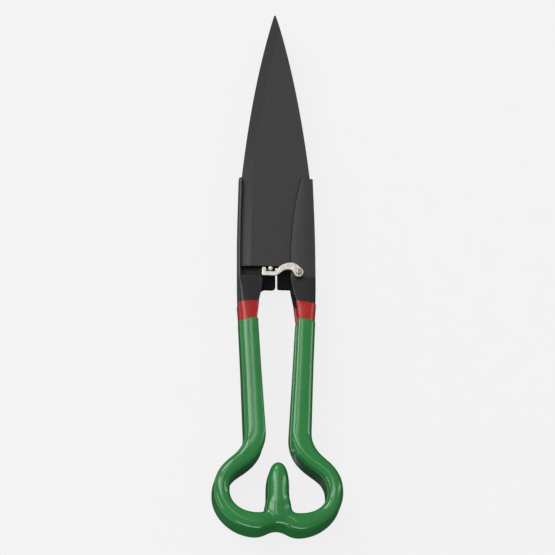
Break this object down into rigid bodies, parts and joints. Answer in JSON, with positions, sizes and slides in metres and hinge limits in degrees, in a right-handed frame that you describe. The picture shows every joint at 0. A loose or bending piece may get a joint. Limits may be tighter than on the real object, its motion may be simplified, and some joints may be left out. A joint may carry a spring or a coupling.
{
  "type": "hedge shears",
  "caption": "One-hand hedge shears: overlapping pointed blades in folded steel shanks, a coated heart-shaped spring bow with finger eyes, and a swinging hook latch.",
  "frame": {"origin": "Middle of the plan view, on the surface that the shears lie on", "axes": "+Y from the bow to the blade tips, +X to the right half whose blade is on top, +Z away from the surface"},
  "size_m": [0.0764, 0.32, 0.024],
  "materials": {
    "black_steel": "satin black coating on folded sheet steel",
    "coated_blade": "matt dark non-stick coating on ground steel",
    "green_dip": "glossy dipped soft vinyl",
    "red_dip": "glossy dipped enamel",
    "spring_steel": "plain spring steel, hidden in the coat",
    "nickel": "warm nickel plate"
  },
  "bodies": {
    "bow": {"spring_bow": "spring_steel", "bow_coat": "green_dip"},
    "left_arm": {"left_shank": "black_steel", "left_blade": "coated_blade", "left_grip_coat": "green_dip", "left_red_band": "red_dip", "catch_stud": "nickel"},
    "right_arm": {"right_shank": "black_steel", "right_blade": "coated_blade", "right_grip_coat": "green_dip", "right_red_band": "red_dip", "latch_rivet": "nickel", "latch_washer": "nickel"},
    "latch": {"latch_hook": "nickel"}
  },
  "joints": [
    {"name": "left_arm_flex", "type": "hinge", "parent": "bow", "child": "left_arm", "pos_m": [-0.0382, -0.136, 0.012], "axis": [0, 0, 1], "range_deg": [0, 6]},
    {"name": "right_arm_flex", "type": "hinge", "parent": "bow", "child": "right_arm", "pos_m": [0.0382, -0.136, 0.012], "axis": [0, 0, -1], "range_deg": [0, 6]},
    {"name": "latch_swing", "type": "hinge", "parent": "right_arm", "child": "latch", "pos_m": [0.0127, -0.0006, 0.0175], "axis": [0, 0, 1], "range_deg": [0, 66]}
  ],
  "couplings": [
    {"joint": "right_arm_flex", "follows": "left_arm_flex", "ratio": 1},
    {"joint": "latch_swing", "follows": "left_arm_flex", "ratio": 11}
  ]
}
